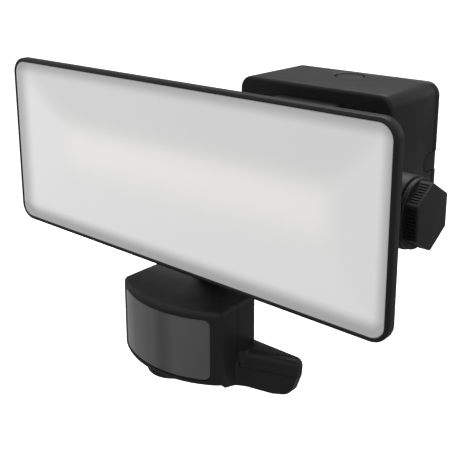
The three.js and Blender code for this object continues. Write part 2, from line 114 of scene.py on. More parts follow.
class FloodlightFinishes(bpy.types.PropertyGroup):
    """Colours of the finishes."""

    coat: colour("Powder coat", "Black powder coat on the metal", (0.0125, 0.0125, 0.0128))
    plastic: colour("Black plastic", "Moulded black plastic", (0.0175, 0.0175, 0.0178))
    opal: colour("Opal", "Frosted lens", (0.62, 0.62, 0.62))
    warm: colour("Warm opal", "Lens in front of the flat back of the reflector", (0.64, 0.634, 0.61))
    smoke: colour("Smoked window", "Tinted window of the camera head", (0.15, 0.15, 0.152))
    rubber: colour("Rubber", "Seals, bushes and the button", (0.011, 0.011, 0.012))
    steel: colour("Steel", "Plated screws and pins", (0.42, 0.43, 0.44))
    white: colour("White plastic", "Reflector, sensor and terminal block", (0.78, 0.78, 0.77))
    board: colour("Circuit board", "Solder mask on the boards", (0.015, 0.085, 0.04))
    glass: colour("Dark glass", "Camera lens and night lights", (0.01, 0.012, 0.02))


class FloodlightStudio(bpy.types.PropertyGroup):
    """The plain studio round the object."""

    floor_drop: length("Floor drop", "Distance from the object's lowest point to the floor", 330)
    camera_lens: FloatProperty(name="Camera lens", description="Focal length in millimetres", default=63.1)
    key_power: FloatProperty(name="Key light", description="Strength of the soft sun", default=0.9)
    back_power: FloatProperty(name="Back light", description="Power of the low light behind", default=9.0)
    sky_power: FloatProperty(name="Sky", description="Strength of the soft surroundings", default=1.0)
    lamp_glow: FloatProperty(name="Lamp glow", description="Light given off by the opal lens", default=0.8)


# ---- working on one object at a time


def deselect():
    if bpy.context.object and bpy.context.object.mode != "OBJECT":
        bpy.ops.object.mode_set(mode="OBJECT")
    bpy.ops.object.select_all(action="DESELECT")


def focus(obj):
    deselect()
    obj.select_set(True)
    bpy.context.view_layer.objects.active = obj


def settle(obj):
    """Moves the object's place into its mesh."""
    focus(obj)
    bpy.ops.object.transform_apply(location=True, rotation=True, scale=True)
    return obj


def named(name):
    obj = bpy.context.object
    obj.name = name
    obj.data.name = name
    return settle(obj)


def add_slab(name, low, high):
    low, high = Vector(low), Vector(high)
    deselect()
    bpy.ops.mesh.primitive_cube_add(size=1, location=(low + high) / 2, scale=high - low)
    return named(name)


def add_rod(name, radius, axis, low, high, centre, sides=96):
    place = Vector(centre)
    place[axis] = (low + high) / 2
    turn = {X: (0, math.pi / 2, 0), Y: (math.pi / 2, 0, 0), Z: (0, 0, 0)}[axis]
    deselect()
    bpy.ops.mesh.primitive_cylinder_add(
        vertices=sides, radius=radius, depth=high - low, location=place, rotation=turn
    )
    return named(name)


def edit(obj, kind, action):
    """Enters edit mode on corners or edges, with all of them or none selected."""
    focus(obj)
    bpy.ops.object.mode_set(mode="EDIT")
    bpy.ops.mesh.select_mode(type=kind)
    bpy.ops.mesh.select_all(action=action)


def bevel_picked(obj, wanted, width, segments=4):
    """Rounds the edges whose two ends the test accepts."""
    edit(obj, "EDGE", "DESELECT")
    mesh = bmesh.from_edit_mesh(obj.data)
    for edge in mesh.edges:
        edge.select = wanted(edge.verts[0].co, edge.verts[1].co)
    mesh.select_flush_mode()
    bmesh.update_edit_mesh(obj.data)
    bpy.ops.mesh.bevel(offset=width, segments=segments, affect="EDGES", clamp_overlap=True)
    bpy.ops.object.mode_set(mode="OBJECT")


def along(axis):
    """Edges that run parallel to an axis."""
    others = [a for a in (X, Y, Z) if a != axis]
    return lambda a, b: all(abs(a[o] - b[o]) < NEAR for o in others)


def level(axis, *places):
    """Edges that lie flat at one of these places on an axis."""
    return lambda a, b: any(abs(a[axis] - p) < NEAR and abs(b[axis] - p) < NEAR for p in places)


def move_corners(obj, wanted, shift):
    edit(obj, "VERT", "DESELECT")
    mesh = bmesh.from_edit_mesh(obj.data)
    for corner in mesh.verts:
        corner.select = wanted(corner.co)
    mesh.select_flush_mode()
    bmesh.update_edit_mesh(obj.data)
    bpy.ops.transform.translate(value=shift)
    bpy.ops.object.mode_set(mode="OBJECT")


def shave(obj, place, normal):
    """Cuts away the side of a plane that its normal points from, and closes the cut."""
    edit(obj, "VERT", "SELECT")
    bpy.ops.mesh.bisect(plane_co=place, plane_no=normal, use_fill=True, clear_inner=True)
    bpy.ops.object.mode_set(mode="OBJECT")


def slice_across(obj, place, normal):
    """Adds a ring of edges where a plane crosses the object."""
    edit(obj, "VERT", "SELECT")
    bpy.ops.mesh.bisect(plane_co=place, plane_no=normal)
    bpy.ops.object.mode_set(mode="OBJECT")


def combine(obj, tool, how):
    focus(obj)
    bpy.ops.object.modifier_add(type="BOOLEAN")
    modifier = obj.modifiers[-1]
    modifier.operation = how
    modifier.solver = "EXACT"
    modifier.object = tool
    bpy.ops.object.modifier_apply(modifier=modifier.name)
    bpy.data.objects.remove(tool)
    return obj


def cut(obj, *tools):
    for tool in tools:
        combine(obj, tool, "DIFFERENCE")
    return obj


def fuse(obj, *tools):
    for tool in tools:
        combine(obj, tool, "UNION")
    return obj


def overlap(obj, tool):
    return combine(obj, tool, "INTERSECT")


def twin(obj, name):
    copy = bpy.data.objects.new(name, obj.data.copy())
    bpy.context.scene.collection.objects.link(copy)
    return copy


def soften(obj, width, segments=2):
    """Rounds every sharp edge a little."""
    focus(obj)
    bpy.ops.object.modifier_add(type="BEVEL")
    modifier = obj.modifiers[-1]
    modifier.width = width
    modifier.segments = segments
    modifier.limit_method = "ANGLE"
    modifier.angle_limit = SMOOTH_ANGLE
    modifier.harden_normals = False
    bpy.ops.object.modifier_apply(modifier=modifier.name)
    return obj


def smooth(obj):
    focus(obj)
    bpy.ops.object.shade_smooth_by_angle(angle=SMOOTH_ANGLE)
    return obj


def rounded_slab(name, low, high, axis, corner, segments=10):
    slab = add_slab(name, low, high)
    bevel_picked(slab, along(axis), corner, segments)
    return slab


def softened_copy(node, name, width, segments=2):
    """Copies a frame node, joins its flat faces and rounds its edges."""
    copy = twin(frame["nodes"][node], name)
    focus(copy)
    if copy.data.has_custom_normals:
        bpy.ops.mesh.customdata_custom_splitnormals_clear()
    edit(copy, "VERT", "SELECT")
    bpy.ops.mesh.remove_doubles(threshold=NEAR / 2)
    bpy.ops.mesh.dissolve_limited(angle_limit=math.radians(1))
    bpy.ops.object.mode_set(mode="OBJECT")
    return soften(copy, width, segments)


def grown(low, high, amount):
    return low - Vector(amount), high + Vector(amount)


def hand_over(obj, body, slot, finish, *nodes):
    """Smooths a piece, gives it its finish and its body, and hides the nodes that it stands for."""
    smooth(obj)
    obj.data.materials.clear()
    obj.data.materials.append(finish)
    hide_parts(*nodes)
    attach(obj, body)


def finish_node(node, name, width, body, slot, finish):
    """Hands over a softened copy of a frame node."""
    hand_over(softened_copy(node, name, width), body, slot, finish, node)


# ---- shader groups shared by the finishes


def new_group(name, inputs, outputs):
    group = bpy.data.node_groups.new(name, "ShaderNodeTree")
    for label, kind, default in inputs:
        socket = group.interface.new_socket(label, in_out="INPUT", socket_type=kind)
        if default is not None:
            socket.default_value = default
    for label in outputs:
        group.interface.new_socket(label, in_out="OUTPUT", socket_type="NodeSocketFloat")
    source = group.nodes.new("NodeGroupInput")
    sink = group.nodes.new("NodeGroupOutput")
    return group, source, sink


def math_node(tree, operation, first, second):
    node = tree.nodes.new("ShaderNodeMath")
    node.operation = operation
    for socket, value in zip(node.inputs, (first, second)):
        if isinstance(value, bpy.types.NodeSocket):
            tree.links.new(value, socket)
        else:
            socket.default_value = value
    return node.outputs[0]


def remap(tree, value, low, high, to_low=0.0, to_high=1.0, soft=True):
    node = tree.nodes.new("ShaderNodeMapRange")
    node.interpolation_type = "SMOOTHSTEP" if soft else "LINEAR"
    tree.links.new(value, node.inputs["Value"])
    settings = {"From Min": low, "From Max": high, "To Min": to_low, "To Max": to_high}
    for label, number in settings.items():
        node.inputs[label].default_value = number
    return node.outputs["Result"]


def noise(tree, vector, scale, detail=3.0):
    node = tree.nodes.new("ShaderNodeTexNoise")
    tree.links.new(vector, node.inputs["Vector"])
    if isinstance(scale, bpy.types.NodeSocket):
        tree.links.new(scale, node.inputs["Scale"])
    else:
        node.inputs["Scale"].default_value = scale
    node.inputs["Detail"].default_value = detail
    return node.outputs[0]


def surface_grain():
    """Fine moulded or sprayed texture, with slow changes of tone where hands and dust have been."""
    known = bpy.data.node_groups.get("surface_grain")
    if known:
        return known
    inputs = [("Vector", "NodeSocketVector", None), ("Grain Scale", "NodeSocketFloat", 900.0)]
    tree, source, sink = new_group("surface_grain", inputs, ["Height", "Tone", "Handling"])
    vector = source.outputs["Vector"]
    cells = tree.nodes.new("ShaderNodeTexVoronoi")
    tree.links.new(vector, cells.inputs["Vector"])
    tree.links.new(source.outputs["Grain Scale"], cells.inputs["Scale"])
    speckle = noise(tree, vector, source.outputs["Grain Scale"], 2.0)
    height = math_node(tree, "ADD", math_node(tree, "MULTIPLY", cells.outputs["Distance"], 0.5), speckle)
    tree.links.new(height, sink.inputs["Height"])
    tree.links.new(remap(tree, speckle, 0.3, 0.7), sink.inputs["Tone"])
    smear = noise(tree, vector, scale=26.0, detail=5.0)
    tree.links.new(remap(tree, smear, 0.42, 0.68), sink.inputs["Handling"])
    return tree


def dust_veil():
    """A thin veil of dust on faces that look up."""
    known = bpy.data.node_groups.get("dust_veil")
    if known:
        return known
    inputs = [("Vector", "NodeSocketVector", None), ("Amount", "NodeSocketFloat", 0.5)]
    tree, source, sink = new_group("dust_veil", inputs, ["Dust"])
    geometry = tree.nodes.new("ShaderNodeNewGeometry")
    split = tree.nodes.new("ShaderNodeSeparateXYZ")
    tree.links.new(geometry.outputs["Normal"], split.inputs[0])
    facing_up = remap(tree, split.outputs["Z"], 0.55, 1.0)
    clouds = noise(tree, source.outputs["Vector"], scale=60.0, detail=6.0)
    patches = remap(tree, clouds, 0.35, 0.75, 0.45, 1.0)
    dust = math_node(tree, "MULTIPLY", facing_up, patches)
    tree.links.new(math_node(tree, "MULTIPLY", dust, source.outputs["Amount"]), sink.inputs["Dust"])
    return tree


def hipped_glow_painted_shade():
    """Painted shade of a reflector with four slopes and a flat back, seen through a frosted lens: darker slopes, a
    darker rim all round and a darker right side.
    """
    known = bpy.data.node_groups.get("hipped_glow_painted_shade")
    if known:
        return known
    sizes = [("Half Width", "NodeSocketFloat", 0.13), ("Half Height", "NodeSocketFloat", 0.05)]
    inputs = [("Vector", "NodeSocketVector", None), *sizes]
    tree, source, sink = new_group("hipped_glow_painted_shade", inputs, ["Glow", "Flat Back"])
    split = tree.nodes.new("ShaderNodeSeparateXYZ")
    tree.links.new(source.outputs["Vector"], split.inputs[0])
    across, up = split.outputs["X"], split.outputs["Z"]
    half_width, half_height = source.outputs["Half Width"], source.outputs["Half Height"]
    reach = {
        "left": math_node(tree, "ADD", half_width, across),
        "right": math_node(tree, "SUBTRACT", half_width, across),
        "top": math_node(tree, "SUBTRACT", half_height, up),
        "bottom": math_node(tree, "ADD", half_height, up),
    }
    # Painted shade: each slope darkens the lens by its share below, and the lens darkens towards its rim.
    slope_width = {"left": 0.048, "right": 0.032, "top": 0.0345, "bottom": 0.043}
    shade = {"left": 0.04, "right": 0.09, "top": 0.17, "bottom": 0.06}
    rim_shade_span = {
        "left": (0.002, 0.015),
        "right": (0, 0.0065),
        "top": (0.0005, 0.008),
        "bottom": (0.0025, 0.0112),
    }
    rim_painted_shade = {"left": 0.6, "right": 0.62, "top": 0.65, "bottom": 0.54}
    edge_softness, shade_across, darkest = 0.09, -0.03, 0.5
    blur = math.exp(-1 / edge_softness)
    total, loss = blur, 0.0
    for side in reach:
        climb = math_node(tree, "DIVIDE", reach[side], slope_width[side])
        weight = math_node(tree, "POWER", blur, climb)
        total = math_node(tree, "ADD", weight, total)
        loss = math_node(tree, "ADD", math_node(tree, "MULTIPLY", weight, shade[side]), loss)
    bright = math_node(tree, "SUBTRACT", 1.0, math_node(tree, "DIVIDE", loss, total))
    # Painted shade: the lens darkens within a few millimetres of the bezel.
    for side in reach:
        rim = remap(tree, reach[side], *rim_shade_span[side], rim_painted_shade[side], 1.0)
        bright = math_node(tree, "MULTIPLY", bright, rim)
    # Painted shade: the whole lens darkens a little from left to right.
    shade_drift = math_node(tree, "MULTIPLY", math_node(tree, "DIVIDE", across, half_width), shade_across)
    bright = math_node(tree, "MULTIPLY", bright, math_node(tree, "ADD", shade_drift, 1.0))
    tree.links.new(math_node(tree, "MAXIMUM", bright, darkest), sink.inputs["Glow"])
    tree.links.new(math_node(tree, "DIVIDE", blur, total), sink.inputs["Flat Back"])
    return tree


# ---- finishes


def new_material(name):
    made = bpy.data.materials.new(name)
    made.use_nodes = True
    tree = made.node_tree
    shader = tree.nodes["Principled BSDF"]
    place = tree.nodes.new("ShaderNodeTexCoord").outputs["Object"]
    return made, tree, shader, place


def use_group(tree, group, vector, **values):
    node = tree.nodes.new("ShaderNodeGroup")
    node.node_tree = group
    tree.links.new(vector, node.inputs["Vector"])
    for label, number in values.items():
        node.inputs[label.replace("_", " ")].default_value = number
    return node.outputs


def mixed(tree, factor, first, second):
    node = tree.nodes.new("ShaderNodeMix")
    node.data_type = "RGBA"
    tree.links.new(factor, node.inputs["Factor"])
    for label, value in (("A", first), ("B", second)):
        socket = next(s for s in node.inputs if s.name == label and s.type == "RGBA")
        if isinstance(value, bpy.types.NodeSocket):
            tree.links.new(value, socket)
        else:
            socket.default_value = (*value[:3], 1.0)
    return next(s for s in node.outputs if s.type == "RGBA")


def bump(tree, shader, height, strength, distance):
    node = tree.nodes.new("ShaderNodeBump")
    node.inputs["Strength"].default_value = strength
    node.inputs["Distance"].default_value = distance
    tree.links.new(height, node.inputs["Height"])
    tree.links.new(node.outputs["Normal"], shader.inputs["Normal"])


def scaled(tint, factor):
    return tuple(min(1.0, channel * factor) for channel in tint)


def textured(name, tint, rough, grain, strength, dust=0.0, metal=0.0, shine=0.3):
    """A finish with fine grain, handled patches and, where asked for, dust on top."""
    dust_tint, bump_depth = (0.16, 0.155, 0.15), 0.06 * MM
    known = bpy.data.materials.get(name)
    if known:
        return known
    made, tree, shader, place = new_material(name)
    marks = use_group(tree, surface_grain(), place, Grain_Scale=grain)
    base = mixed(tree, marks["Tone"], scaled(tint, 0.88), scaled(tint, 1.12))
    if dust:
        veil = use_group(tree, dust_veil(), place, Amount=dust)
        base = mixed(tree, veil["Dust"], base, dust_tint)
    tree.links.new(base, shader.inputs["Base Color"])
    roughness = remap(tree, marks["Handling"], 0.0, 1.0, rough - 0.03, rough + 0.05)
    tree.links.new(roughness, shader.inputs["Roughness"])
    shader.inputs["Metallic"].default_value = metal
    shader.inputs["Specular IOR Level"].default_value = shine
    bump(tree, shader, marks["Height"], strength, bump_depth)
    return made


def finishes():
    return bpy.context.scene.floodlight_finishes


def powder_coat():
    tint = finishes().coat
    return textured("black powder coat", tint, rough=0.46, grain=1400.0, strength=0.2, dust=0.03)


def moulded_black():
    tint = finishes().plastic
    return textured("moulded black plastic", tint, rough=0.42, grain=2200.0, strength=0.12, dust=0.02)


def knob_black():
    return textured("knob plastic", finishes().plastic, rough=0.5, grain=2600.0, strength=0.12)


def soft_rubber():
    return textured("black rubber", finishes().rubber, rough=0.78, grain=1800.0, strength=0.25)


def plated_steel():
    tint = finishes().steel
    return textured("plated steel", tint, rough=0.33, grain=1200.0, strength=0.08, metal=1.0, shine=0.5)


def white_plastic():
    return textured("white plastic", finishes().white, rough=0.4, grain=1500.0, strength=0.08, shine=0.5)


def solder_mask():
    tint = finishes().board
    return textured("circuit board green", tint, rough=0.35, grain=1100.0, strength=0.3, shine=0.5)


def dark_glass():
    return textured("dark glass", finishes().glass, rough=0.08, grain=300.0, strength=0.0, shine=0.6)


def opal_lens():
    known = bpy.data.materials.get("opal lens")
    if known:
        return known
    made, tree, shader, place = new_material("opal lens")
    low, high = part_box("lamp_lens")
    middle = tree.nodes.new("ShaderNodeMapping")
    middle.inputs["Location"].default_value = -(low + high) / 2
    tree.links.new(place, middle.inputs["Vector"])
    half = (high - low) / 2
    glow = use_group(tree, hipped_glow_painted_shade(), middle.outputs[0], Half_Width=half.x, Half_Height=half.z)
    frost = use_group(tree, surface_grain(), place, Grain_Scale=1600.0)
    tone = mixed(tree, glow["Flat Back"], finishes().opal, finishes().warm)
    frosted = mixed(tree, frost["Tone"], (0.985, 0.985, 0.985), (1.0, 1.0, 1.0))
    tone = multiplied(tree, tone, frosted)
    # The lens's base and emission colours carry the painted shade of the reflector: darker slopes and rim, a
    # lighter flat back.
    tone = multiplied(tree, tone, glow["Glow"])
    tree.links.new(tone, shader.inputs["Base Color"])
    tree.links.new(tone, shader.inputs["Emission Color"])
    shader.inputs["Emission Strength"].default_value = bpy.context.scene.floodlight_studio.lamp_glow
    roughness = remap(tree, frost["Handling"], 0.0, 1.0, 0.5, 0.6)
    tree.links.new(roughness, shader.inputs["Roughness"])
    shader.inputs["Specular IOR Level"].default_value = 0.3
    bump(tree, shader, frost["Height"], 0.1, 0.04 * MM)
    return made


def multiplied(tree, first, second):
    node = tree.nodes.new("ShaderNodeVectorMath")
    node.operation = "MULTIPLY"
    tree.links.new(first, node.inputs[0])
    tree.links.new(second, node.inputs[1])
    return node.outputs[0]


def smoked_plastic():
    """A smoked window with painted reflections: soft upright bands across it, brightest at its left edge."""
    known = bpy.data.materials.get("smoked window")
    if known:
        return known
    made, tree, shader, place = new_material("smoked window")
    split = tree.nodes.new("ShaderNodeSeparateXYZ")
    tree.links.new(place, split.inputs[0])
    low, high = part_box("head_window")
    across = remap(tree, split.outputs["X"], low.x, high.x, 0.0, 1.0, soft=False)
    ramp = tree.nodes.new("ShaderNodeValToRGB")
    ramp.color_ramp.interpolation = "EASE"
    tree.links.new(across, ramp.inputs["Fac"])
    # Painted reflection: light upright bands across the window, brightest at its left edge.
    painted_reflection_bands = [(0.0, 3.0), (0.1, 1.9), (0.25, 1.35), (0.45, 1.1), (0.58, 0.72), (0.72, 1.0), (1.0, 0.88)]
    points = ramp.color_ramp.elements
    while len(points) < len(painted_reflection_bands):
        points.new(0.5)
    for point, (position, tone) in zip(points, painted_reflection_bands):
        point.position = position
        point.color = (*scaled(finishes().smoke, tone), 1.0)
    marks = use_group(tree, surface_grain(), place, Grain_Scale=700.0)
    tinted = multiplied(tree, ramp.outputs["Color"], mixed(tree, marks["Tone"], (0.97,) * 3, (1.0,) * 3))
    tree.links.new(tinted, shader.inputs["Base Color"])
    tree.links.new(remap(tree, marks["Handling"], 0.0, 1.0, 0.2, 0.27), shader.inputs["Roughness"])
    shader.inputs["Specular IOR Level"].default_value = 0.5
    return made


# ---- lamp


class FLOODLIGHT_OT_bezel(bpy.types.Operator):
    """Makes the slim black frame round the lens"""

    bl_idname = "floodlight.bezel"
    bl_label = "Lamp Bezel"

    def execute(self, context):
        sizes = context.scene.floodlight_sizes
        low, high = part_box("lamp_bezel")
        lens_low, lens_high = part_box("lamp_lens")
        back_round, lip_round = 0.8 * MM, 0.35 * MM
        slack, seal, ledge = 0.3 * MM, 1.3 * MM, 4 * MM
        bezel = rounded_slab("bezel", low, high, Y, sizes.bezel_corner, 12)
        bevel_picked(bezel, level(Y, low.y), sizes.bezel_round, 5)
        bevel_picked(bezel, level(Y, high.y), back_round, 3)
        pocket_low, pocket_high = grown(lens_low, lens_high, (slack, 0, slack))
        pocket_low.y = low.y - PAST
        pocket_high.y = lens_high.y + seal
        pocket = rounded_slab("pocket", pocket_low, pocket_high, Y, sizes.lens_corner + slack, 12)
        throat_low, throat_high = grown(lens_low, lens_high, (-ledge, 0, -ledge))
        throat_high.y = high.y + PAST
        throat = rounded_slab("throat", throat_low, throat_high, Y, sizes.lens_corner - ledge / 2, 8)
        cut(bezel, pocket, throat)
        bevel_picked(bezel, self.lip(lens_low, lens_high, low.y), lip_round, 2)
        hand_over(bezel, "lamp", "black_plastic", moulded_black(), "lamp_bezel")
        return {"FINISHED"}

    @staticmethod
    def lip(lens_low, lens_high, front):
        """The edge where the pocket meets the front rim."""
        reach = 1 * MM

        def inside(p):
            across = lens_low.x - reach < p.x < lens_high.x + reach
            return across and lens_low.z - reach < p.z < lens_high.z + reach and abs(p.y - front) < NEAR

        return lambda a, b: inside(a) and inside(b)


class FLOODLIGHT_OT_lens(bpy.types.Operator):
    """Makes the frosted lens with its softened rim"""

    bl_idname = "floodlight.lens"
    bl_label = "Opal Lens"

    def execute(self, context):
        sizes = context.scene.floodlight_sizes
        low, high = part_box("lamp_lens")
        lens = rounded_slab("opal_lens", low, high, Y, sizes.lens_corner, 12)
        bevel_picked(lens, level(Y, low.y), 0.7 * MM, 4)
        hand_over(lens, "lamp", "opal_diffuser", opal_lens(), "lamp_lens")
        return {"FINISHED"}


class FLOODLIGHT_OT_lamp_back(bpy.types.Operator):
    """Makes the finned tray, its vent and screws, and the cradles of the barrel"""

    bl_idname = "floodlight.lamp_back"
    bl_label = "Lamp Back"

    def execute(self, context):
        coat, steel = powder_coat(), plated_steel()
        finish_node("lamp_tray", "finned_tray", 0.4 * MM, "lamp", "coated_metal", coat)
        for number in range(1, 5):
            cradle, screw = f"barrel_cradle_{number}", f"tray_screw_{number}"
            finish_node(cradle, f"cradle_{number}", 0.6 * MM, "lamp", "coated_metal", coat)
            finish_node(screw, f"tray_screw_head_{number}", 0.25 * MM, "lamp", "screw_steel", steel)
        vent = softened_copy("tray_vent", "breather_vent", 0.5 * MM, 3)
        hand_over(vent, "lamp", "black_rubber", soft_rubber(), "tray_vent")
        return {"FINISHED"}


class FLOODLIGHT_OT_barrel(bpy.types.Operator):
    """Makes the tilt barrel and its left end cap"""

    bl_idname = "floodlight.barrel"
    bl_label = "Tilt Barrel"

    def execute(self, context):
        low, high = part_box("tilt_barrel")
        centre = (low + high) / 2
        radius = (high.z - low.z) / 2
        wall, gap, plug_gap = 2 * MM, 0.3 * MM, 0.4 * MM
        plug_depth, dish_depth, dish_share = 5 * MM, 0.5 * MM, 0.62
        barrel = add_rod("barrel", radius, X, low.x, high.x, centre, 128)
        bore = add_rod("bore", radius - wall, X, low.x - PAST, high.x + PAST, centre, 128)
        cut(barrel, bore)
        soften(barrel, 0.7 * MM, 3)
        hand_over(barrel, "lamp", "coated_metal", powder_coat(), "tilt_barrel")

        cap_low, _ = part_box("barrel_cap")
        cap = add_rod("end_cap", radius, X, cap_low.x, low.x - gap, centre, 128)
        bevel_picked(cap, level(X, cap_low.x), 1.8 * MM, 5)
        plug_end = low.x + plug_depth - gap
        fuse(cap, add_rod("plug", radius - wall - plug_gap, X, low.x - PAST, plug_end, centre, 96))
        dish_floor = cap_low.x + dish_depth
        cut(cap, add_rod("dish", radius * dish_share, X, cap_low.x - PAST, dish_floor, centre, 96))
        soften(cap, 0.3 * MM)
        hand_over(cap, "lamp", "black_plastic", moulded_black(), "barrel_cap")
        return {"FINISHED"}


class FLOODLIGHT_OT_knob(bpy.types.Operator):
    """Makes the hexagonal locking knob with ribs on its six sides"""

    bl_idname = "floodlight.knob"
    bl_label = "Locking Knob"

    def execute(self, context):
        sizes = context.scene.floodlight_sizes
        low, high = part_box("lock_knob")
        centre = (low + high) / 2
        flange_end = low.x + 2.7 * MM
        hole_radius, hole_depth = 4.3 * MM, 5 * MM
        hexagon = add_rod("knob", sizes.knob_radius, X, flange_end - MM, high.x, centre, 6)
        self.turn(hexagon, SIXTH / 2, centre)
        bevel_picked(hexagon, along(X), 0.7 * MM, 3)
        bevel_picked(hexagon, level(X, high.x), 0.9 * MM, 4)
        cut(hexagon, self.grooves(sizes, centre, flange_end, high.x))
        flange = add_rod("flange", (high.z - low.z) / 2, X, low.x, flange_end, centre, 96)
        bevel_picked(flange, level(X, low.x, flange_end), 0.5 * MM, 3)
        fuse(hexagon, flange)
        cut(hexagon, add_rod("stud_hole", hole_radius, X, low.x - PAST, low.x + hole_depth, centre, 48))
        hand_over(hexagon, "knob", "black_plastic", knob_black(), "lock_knob")
        return {"FINISHED"}

    @staticmethod
    def turn(obj, angle, centre):
        focus(obj)
        bpy.ops.transform.rotate(value=angle, orient_axis="X", center_override=centre)
        settle(obj)

    def grooves(self, sizes, centre, start, end):
        """All the grooves between the ribs, as one tool."""
        half_width, depth, from_flange, from_face = 0.4 * MM, 0.6 * MM, 0.9 * MM, 1.5 * MM
        flat = centre.z + sizes.knob_radius * math.cos(SIXTH / 2)
        tools = []
        for side in range(6):
            for step in range(sizes.ribs):
                offset = (step - (sizes.ribs - 1) / 2) * sizes.rib_pitch
                middle = centre.y + offset
                low = (start + from_flange, middle - half_width, flat - depth)
                high = (end - from_face, middle + half_width, flat + PAST)
                groove = add_slab("groove", low, high)
                self.turn(groove, (side + 0.5) * SIXTH, centre)
                tools.append(groove)
        deselect()
        for tool in tools:
            tool.select_set(True)
        bpy.context.view_layer.objects.active = tools[0]
        bpy.ops.object.join()
        return tools[0]


# ---- wall box and arm


def breakout(name, node, grow):
    """The U-shaped break-out, larger by a margin all round."""
    low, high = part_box(node)
    radius = (high.z - low.z) / 2
    round_end = low.y + radius
    middle = (low + high) / 2
    past = 2 * PAST if grow else 0.0
    slab_low = (low.x - past, round_end, low.z - grow)
    slab = add_slab(name, slab_low, (high.x + past, high.y + 2 * grow, high.z + grow))
    middle.y = round_end
    end = add_rod("round_end", radius + grow, X, low.x - past, high.x + past, middle, 64)
    return fuse(slab, end)


class FLOODLIGHT_OT_wall_box(bpy.types.Operator):
    """Makes the wall box with its plate, knock-out, break-outs, grommet and screws"""

    bl_idname = "floodlight.wall_box"
    bl_label = "Wall Box"

    def execute(self, context):
        sizes = context.scene.floodlight_sizes
        low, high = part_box("box_shell")
        wall, gap, play = 2.6 * MM, 0.8 * MM, 0.2 * MM
        sunk = 0.35 * MM
        shell = rounded_slab("wall_box", low, high, Y, sizes.box_corner, 12)
        bevel_picked(shell, level(Y, low.y), sizes.box_round, 5)
        inner_low, inner_high = grown(low, high, (-wall, 0, -wall))
        inner_low.y += wall
        inner_high.y += PAST
        hollow = rounded_slab("hollow", inner_low, inner_high, Y, sizes.box_corner - wall, 8)
        cap_low, cap_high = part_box("top_knockout")
        centre = (cap_low + cap_high) / 2
        radius = (cap_high.x - cap_low.x) / 2
        opening = add_rod("opening", radius + gap, Z, high.z - 2 * wall, high.z + wall, centre, 96)
        sides = [breakout("slot", node, 0.5 * MM) for node in ("left_breakout", "right_breakout")]
        cut(shell, hollow, opening, *sides)
        soften(shell, 0.35 * MM)
        hand_over(shell, "base", "coated_metal", powder_coat(), "box_shell")

        knockout = add_rod("knockout", radius - play, Z, cap_low.z, high.z - sunk, centre, 96)
        soften(knockout, 0.4 * MM, 3)
        hand_over(knockout, "base", "coated_metal", powder_coat(), "top_knockout")
        for node in ("left_breakout", "right_breakout"):
            flap = soften(breakout(node + "_flap", node, 0.0), 0.3 * MM)
            hand_over(flap, "base", "coated_metal", powder_coat(), node)

        self.make_plate(sizes, 0.35 * MM)
        for node, slot, finish in (
            ("cable_grommet", "black_rubber", soft_rubber()),
            ("box_screw_left", "screw_steel", plated_steel()),
            ("box_screw_right", "screw_steel", plated_steel()),
        ):
            finish_node(node, node + "_part", 0.3 * MM, "base", slot, finish)
        return {"FINISHED"}

    @staticmethod
    def make_plate(sizes, gap):
        hole_radius = 11.3 * MM
        slot_place, slot_reach, slot_half, slot_corner = 42 * MM, 6 * MM, 2.3 * MM, 2.25 * MM
        low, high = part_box("wall_plate")
        plate = rounded_slab("back_plate", low, high, Y, sizes.box_corner, 12)
        bevel_picked(plate, level(Y, low.y), 0.5 * MM, 2)
        grommet_low, grommet_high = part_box("cable_grommet")
        centre = (grommet_low + grommet_high) / 2
        hole = add_rod("hole", hole_radius, Y, low.y - PAST, high.y + PAST, centre, 64)
        tools = [breakout("slot", node, gap) for node in ("left_breakout", "right_breakout")]
        for middle in (-slot_place, slot_place):
            slot_low = (middle - slot_reach, low.y - PAST, -slot_half)
            slot_high = (middle + slot_reach, high.y + PAST, slot_half)
            tools.append(rounded_slab("wall_slot", slot_low, slot_high, Y, slot_corner, 8))
        cut(plate, hole, *tools)
        hand_over(plate, "base", "coated_metal", powder_coat(), "wall_plate")


class FLOODLIGHT_OT_arm(bpy.types.Operator):
    """Makes the support arm, its sleeve rings and the sensor post"""

    bl_idname = "floodlight.arm"
    bl_label = "Support Arm"

    def execute(self, context):
        finish_node("support_arm", "arm", 0.5 * MM, "base", "coated_metal", powder_coat())
        gap = 0.3 * MM
        barrel_low, barrel_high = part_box("tilt_barrel")
        bore = (barrel_high.z - barrel_low.z) / 2 + gap
        for node in ("sleeve_ring_left", "sleeve_ring_right"):
            low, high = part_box(node)
            centre = (low + high) / 2
            ring = add_rod(node + "_bush", (high.z - low.z) / 2, X, low.x, high.x, centre, 96)
            cut(ring, add_rod("bore", bore, X, low.x - PAST, high.x + PAST, centre, 96))
            soften(ring, 0.4 * MM)
            hand_over(ring, "base", "black_rubber", soft_rubber(), node)
        finish_node("sensor_post", "post", 0.4 * MM, "base", "coated_metal", powder_coat())
        return {"FINISHED"}


# ---- swivel and head


class FLOODLIGHT_OT_swivel(bpy.types.Operator):
    """Makes the fork under the post with its bolt and nut"""

    bl_idname = "floodlight.swivel"
    bl_label = "Swivel Fork"

    def execute(self, context):
        finish_node("swivel_fork", "fork", 0.4 * MM, "swivel", "black_plastic", moulded_black())
        for node, name in (("knuckle_bolt", "bolt"), ("knuckle_nut", "nut")):
            finish_node(node, name, 0.35 * MM, "swivel", "screw_steel", plated_steel())
        return {"FINISHED"}


